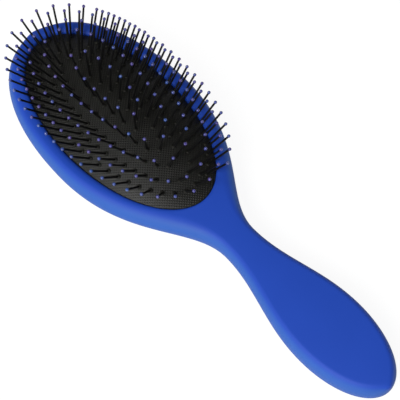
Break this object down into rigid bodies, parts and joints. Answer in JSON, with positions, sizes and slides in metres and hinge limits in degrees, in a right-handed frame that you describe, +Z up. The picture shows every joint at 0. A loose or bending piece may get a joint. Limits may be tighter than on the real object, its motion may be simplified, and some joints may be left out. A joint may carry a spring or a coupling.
{
  "type": "cushioned hair brush",
  "caption": "Oval detangling hair brush with a teardrop handle, a domed air cushion that gives under load, and ball-tipped pins that fan outwards.",
  "frame": {"origin": "middle of the outline, on the flat that the brush lies on", "axes": "+X along the brush from the end of the handle to the tip of the head, +Y across it, +Z up out of the cushion along the pins"},
  "size_m": [0.223, 0.071, 0.0399],
  "materials": {
    "body": "soft-touch matte royal blue",
    "cushion": "matte black, fine raised dots",
    "pins": "matte black cushion with satin black pins, glossy violet and blue balls on their ends"
  },
  "bodies": {
    "body": {"body": "body", "cushion_edge": "cushion"},
    "band_outer": {"pins_outer_1": "pins", "pins_outer_2": "pins", "pins_outer_3": "pins", "pins_outer_4": "pins", "pins_outer_5": "pins", "pins_outer_6": "pins", "pins_outer_7": "pins", "pins_outer_8": "pins"},
    "band_second": {"pins_second_1": "pins", "pins_second_2": "pins", "pins_second_3": "pins", "pins_second_4": "pins", "pins_second_5": "pins", "pins_second_6": "pins", "pins_second_7": "pins", "pins_second_8": "pins"},
    "band_third": {"pins_third_1": "pins", "pins_third_2": "pins", "pins_third_3": "pins", "pins_third_4": "pins", "pins_third_5": "pins", "pins_third_6": "pins"},
    "band_fourth": {"pins_fourth_1": "pins", "pins_fourth_2": "pins", "pins_fourth_3": "pins", "pins_fourth_4": "pins"},
    "band_centre": {"pins_centre": "pins"}
  },
  "joints": [
    {"name": "band_outer_sink", "type": "slide", "parent": "body", "child": "band_outer", "axis": [0, 0, -1], "range_m": [0, 0.0011], "stiffness_N_per_m": 400},
    {"name": "band_second_sink", "type": "slide", "parent": "body", "child": "band_second", "axis": [0, 0, -1], "range_m": [0, 0.0019], "stiffness_N_per_m": 500},
    {"name": "band_third_sink", "type": "slide", "parent": "body", "child": "band_third", "axis": [0, 0, -1], "range_m": [0, 0.0025], "stiffness_N_per_m": 500},
    {"name": "band_fourth_sink", "type": "slide", "parent": "body", "child": "band_fourth", "axis": [0, 0, -1], "range_m": [0, 0.0031], "stiffness_N_per_m": 500},
    {"name": "band_centre_sink", "type": "slide", "parent": "body", "child": "band_centre", "axis": [0, 0, -1], "range_m": [0, 0.0035], "stiffness_N_per_m": 1400}
  ],
  "couplings": [
    {"joint": "band_outer_sink", "follows": "band_centre_sink", "ratio": 0.3},
    {"joint": "band_second_sink", "follows": "band_centre_sink", "ratio": 0.52},
    {"joint": "band_third_sink", "follows": "band_centre_sink", "ratio": 0.7},
    {"joint": "band_fourth_sink", "follows": "band_centre_sink", "ratio": 0.86}
  ]
}
